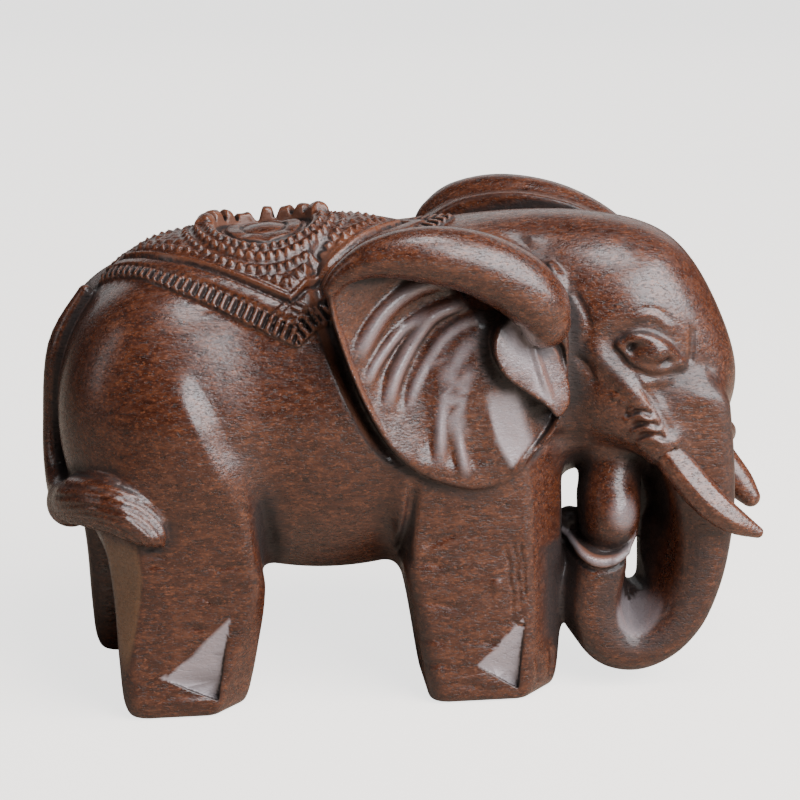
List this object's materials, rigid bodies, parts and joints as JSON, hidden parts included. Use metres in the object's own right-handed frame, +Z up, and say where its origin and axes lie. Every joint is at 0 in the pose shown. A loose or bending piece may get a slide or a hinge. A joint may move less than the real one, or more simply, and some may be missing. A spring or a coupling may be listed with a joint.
{
  "type": "carved wooden elephant figurine",
  "caption": "Walking elephant carved from dark wood, head turned, trunk curled under the lip, with a carved diamond saddle-cloth and glued-in tusks; stands on its feet.",
  "frame": {"origin": "on the ground, at the middle of the figure's outline seen from above", "axes": "+X the way the elephant walks, +Y its left, +Z up"},
  "size_m": [0.1228, 0.0538, 0.0797],
  "materials": {
    "carved_wood": "satin lacquer over dark red-brown close-grained wood",
    "tusk_wood": "satin lacquer, slightly redder than the block"
  },
  "bodies": {
    "root": {"body": "carved_wood", "tusk_right": "tusk_wood", "tusk_left": "tusk_wood"}
  },
  "joints": []
}
